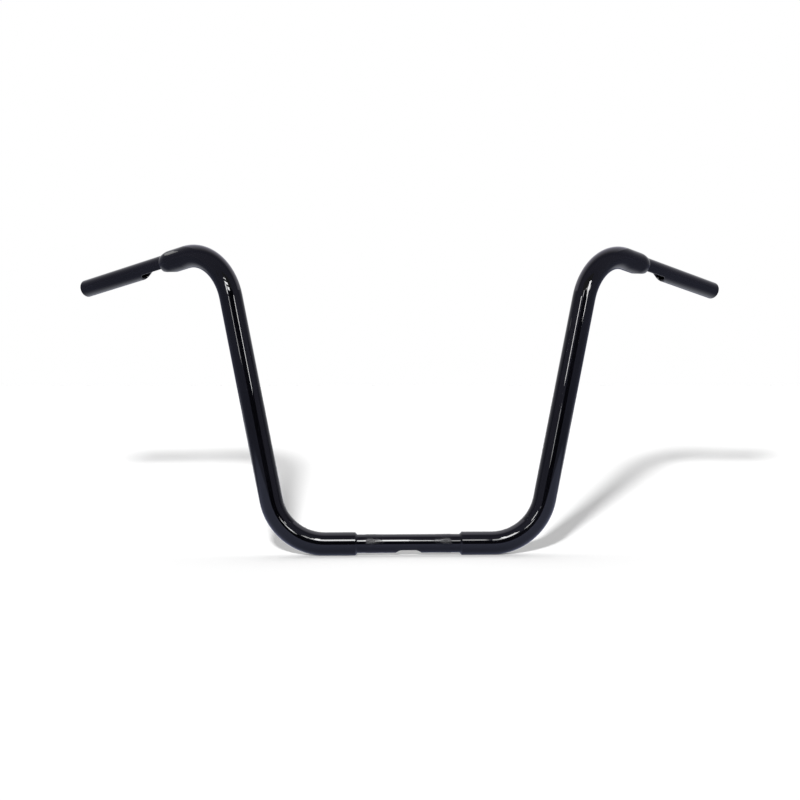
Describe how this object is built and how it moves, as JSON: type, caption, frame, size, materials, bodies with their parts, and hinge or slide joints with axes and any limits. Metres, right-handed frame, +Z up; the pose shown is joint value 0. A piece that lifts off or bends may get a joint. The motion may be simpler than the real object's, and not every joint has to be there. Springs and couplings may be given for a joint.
{
  "type": "ape hanger handlebar",
  "caption": "Tall gloss black motorbike handlebar: fat tubes rise from a narrow knurled clamp section to slimmer pulled-back ends for the grips, slotted for wiring.",
  "frame": {"origin": "on the axis of the clamp tube, midway between the risers", "axes": "+X along the clamp tube to the rider's left, +Y towards the rider, +Z up, in the plane of the risers"},
  "size_m": [0.9674, 0.2076, 0.4277],
  "materials": {
    "black_paint": "gloss"
  },
  "bodies": {
    "root": {"clamp_tube": "black_paint", "left_riser_tube": "black_paint", "right_riser_tube": "black_paint", "left_grip_tube": "black_paint", "right_grip_tube": "black_paint"}
  },
  "joints": []
}
